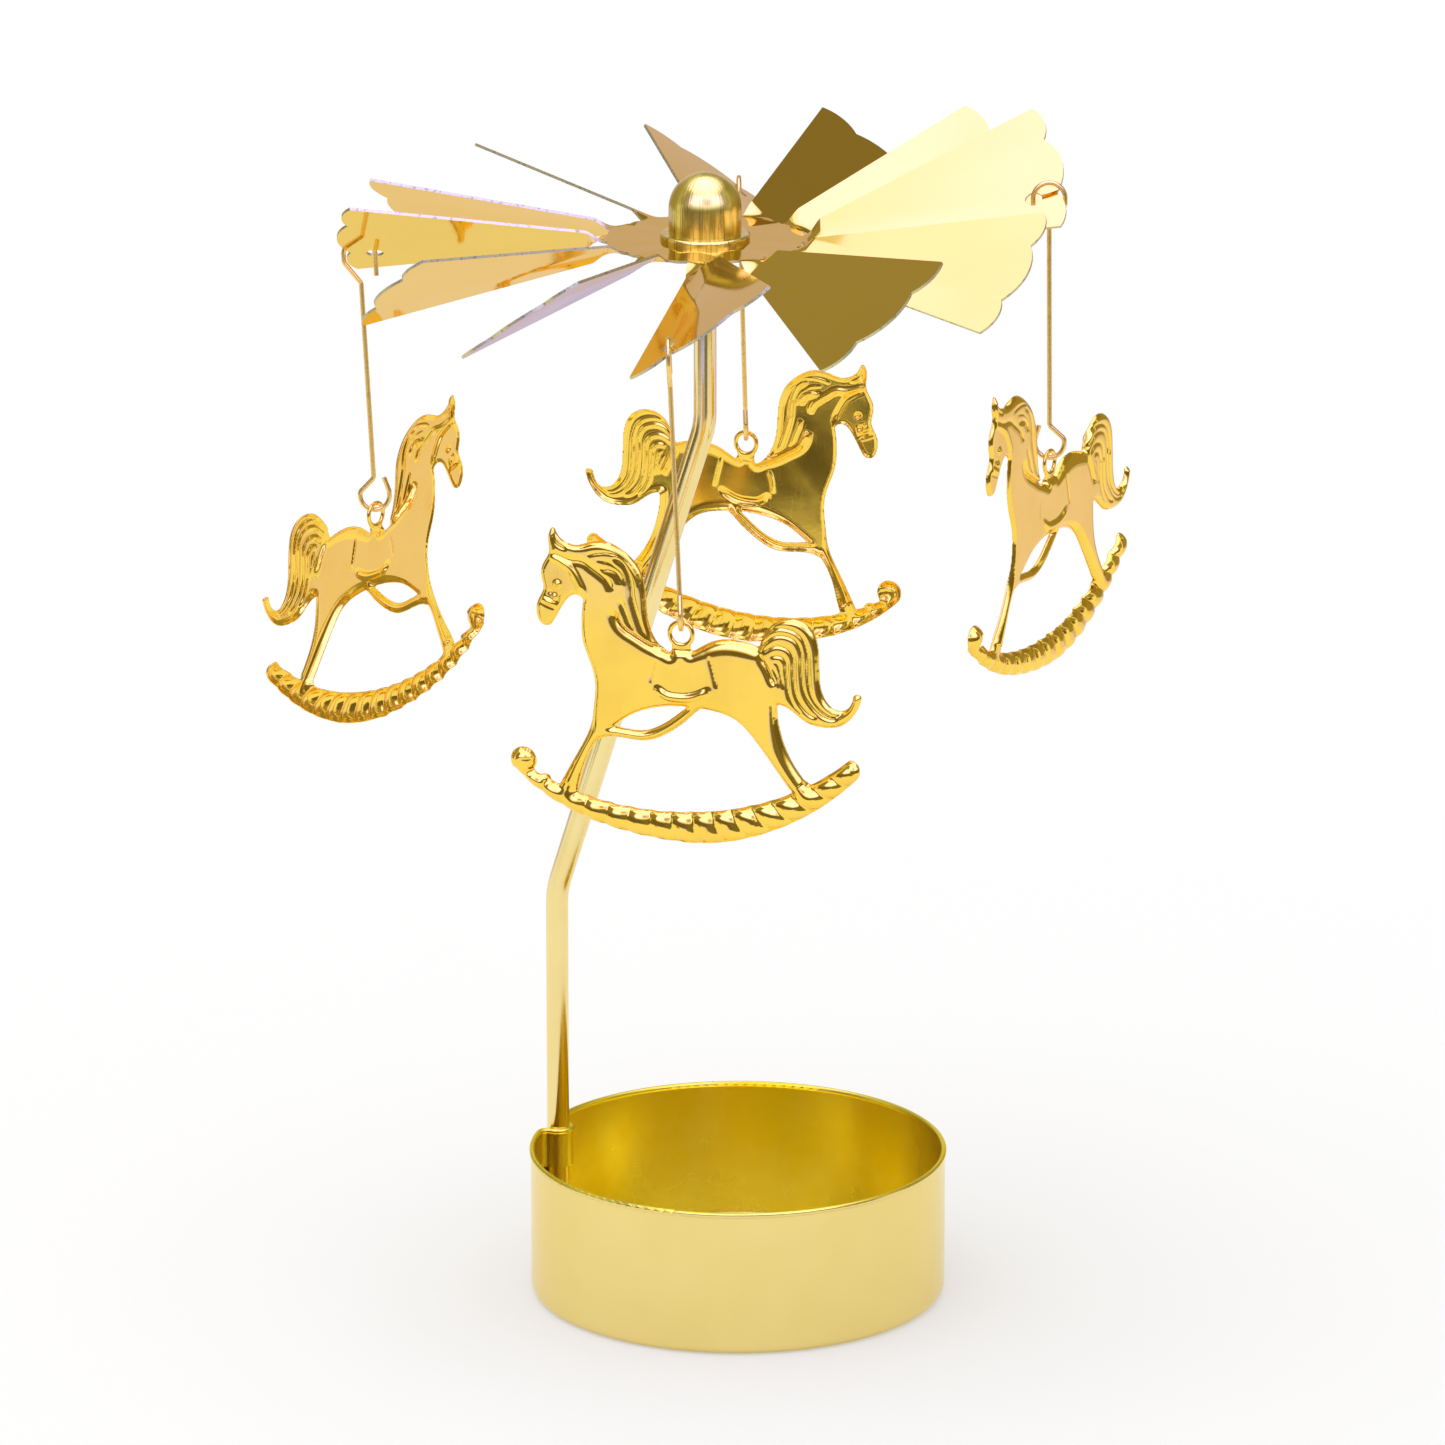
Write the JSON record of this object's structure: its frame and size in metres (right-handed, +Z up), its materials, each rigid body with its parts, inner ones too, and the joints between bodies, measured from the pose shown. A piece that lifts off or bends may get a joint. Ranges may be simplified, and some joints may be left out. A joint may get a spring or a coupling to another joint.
{
  "type": "candle carousel",
  "caption": "Rotary candle carousel: a tealight tray, a bent post and a bladed rotor on a pivot that carries stamped rocking horses on wire hangers.",
  "frame": {"origin": "centre of the flat underside of the tray", "axes": "+Z up; the post stands on the -X side of the tray, and the rotor's axis lies between the post and the tray's centre"},
  "size_m": [0.1006, 0.0986, 0.1657],
  "materials": {
    "tray_gold": "polished gold plating, deeper gold inside",
    "post_gold": "polished pale gold plating",
    "needle_steel": "ground steel",
    "rotor_gold": "mirror gold plating with bare cut edges",
    "hub_gold": "brushed gold plating",
    "seat_brass": "turned brass",
    "wire_brass": "drawn wire, gold plating",
    "horse_gold": "polished yellow gold plating"
  },
  "bodies": {
    "stand": {"tray": "tray_gold", "post": "post_gold", "pivot_needle": "needle_steel"},
    "turner": {"rotor": "rotor_gold", "hub_cap": "hub_gold", "hub_collar": "hub_gold", "bearing_seat": "seat_brass"},
    "hanger_front": {"hanger_front": "wire_brass"},
    "horse_front": {"horse_front": "horse_gold"},
    "hanger_right": {"hanger_right": "wire_brass"},
    "horse_right": {"horse_right": "horse_gold"},
    "hanger_back": {"hanger_back": "wire_brass"},
    "horse_back": {"horse_back": "horse_gold"},
    "hanger_left": {"hanger_left": "wire_brass"},
    "horse_left": {"horse_left": "horse_gold"}
  },
  "joints": [
    {"name": "rotor_spin", "type": "hinge", "parent": "stand", "child": "turner", "pos_m": [-0.0048, 0, 0.1495], "axis": [0, 0, 1], "continuous": true},
    {"name": "hanger_front_swing", "type": "hinge", "parent": "turner", "child": "hanger_front", "pos_m": [0.00683, -0.0457, 0.14549], "axis": [-0.9438, -0.3305, 0], "range_deg": [-15, 30]},
    {"name": "horse_front_rock", "type": "hinge", "parent": "hanger_front", "child": "horse_front", "pos_m": [0.00834, -0.04517, 0.10789], "axis": [0.0401, -0.9992, 0], "range_deg": [-25, 25]},
    {"name": "hanger_right_swing", "type": "hinge", "parent": "turner", "child": "hanger_right", "pos_m": [0.0404, 0.01146, 0.15671], "axis": [0.3305, -0.9438, 0], "range_deg": [-15, 30]},
    {"name": "horse_right_rock", "type": "hinge", "parent": "hanger_right", "child": "horse_right", "pos_m": [0.04078, 0.01159, 0.12021], "axis": [0.991, -0.134, 0], "range_deg": [-25, 25]},
    {"name": "hanger_back_swing", "type": "hinge", "parent": "turner", "child": "hanger_back", "pos_m": [-0.01643, 0.0457, 0.14549], "axis": [0.9438, 0.3305, 0], "range_deg": [-15, 30]},
    {"name": "horse_back_rock", "type": "hinge", "parent": "hanger_back", "child": "horse_back", "pos_m": [-0.01549, 0.04603, 0.10949], "axis": [0.0645, 0.9979, 0], "range_deg": [-25, 25]},
    {"name": "hanger_left_swing", "type": "hinge", "parent": "turner", "child": "hanger_left", "pos_m": [-0.05062, -0.01167, 0.14667], "axis": [-0.3305, 0.9438, 0], "range_deg": [-15, 30]},
    {"name": "horse_left_rock", "type": "hinge", "parent": "hanger_left", "child": "horse_left", "pos_m": [-0.04882, -0.01105, 0.11038], "axis": [-0.9627, 0.2706, 0], "range_deg": [-25, 25]}
  ]
}
